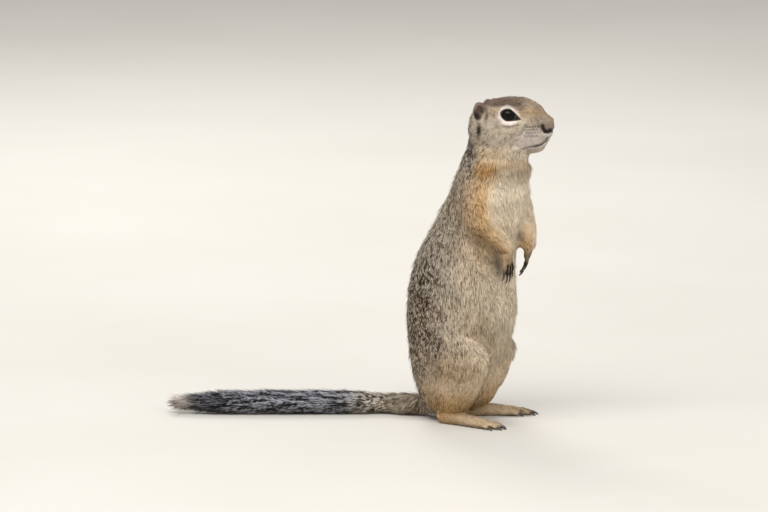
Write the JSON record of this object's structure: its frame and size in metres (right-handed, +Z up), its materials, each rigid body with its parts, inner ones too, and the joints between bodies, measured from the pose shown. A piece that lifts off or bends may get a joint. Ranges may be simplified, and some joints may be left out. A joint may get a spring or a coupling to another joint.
{
  "type": "ground squirrel",
  "caption": "Life-size still model of a ground squirrel standing upright on its hind feet, hands hanging before its chest, tail laid along the floor.",
  "frame": {"origin": "centre of the bounding box, on the floor under the animal", "axes": "+X the way the body faces, +Y the animal's left, +Z up"},
  "size_m": [0.308, 0.1366, 0.2676],
  "materials": {
    "coat": "short fur, grizzled grey-brown above and cream below",
    "tail_coat": "long fur, black and grey with a white tip",
    "paw_coat": "very short buff fur",
    "eye": "wet, near black",
    "claw": "dark horn"
  },
  "bodies": {
    "root": {"claw_foot_left_1": "claw", "claw_foot_left_2": "claw", "claw_foot_left_3": "claw", "claw_foot_left_4": "claw", "claw_foot_left_5": "claw", "claw_foot_right_1": "claw", "claw_foot_right_2": "claw", "claw_foot_right_3": "claw", "claw_foot_right_4": "claw", "claw_foot_right_5": "claw", "claw_hand_left_1": "claw", "claw_hand_left_2": "claw", "claw_hand_left_3": "claw", "claw_hand_left_4": "claw", "claw_hand_right_1": "claw", "claw_hand_right_2": "claw", "claw_hand_right_3": "claw", "claw_hand_right_4": "claw", "ear_left": "coat", "ear_right": "coat", "eye_left": "eye", "eye_right": "eye", "foot_left": "paw_coat", "foot_right": "paw_coat", "forearm_left": "coat", "forearm_right": "coat", "hand_left": "paw_coat", "hand_right": "paw_coat", "head": "coat", "neck": "coat", "shank_left": "coat", "shank_right": "coat", "tail_base": "tail_coat", "tail_end": "tail_coat", "thigh_left": "coat", "thigh_right": "coat", "trunk": "coat", "upper_arm_left": "coat", "upper_arm_right": "coat"}
  },
  "joints": []
}
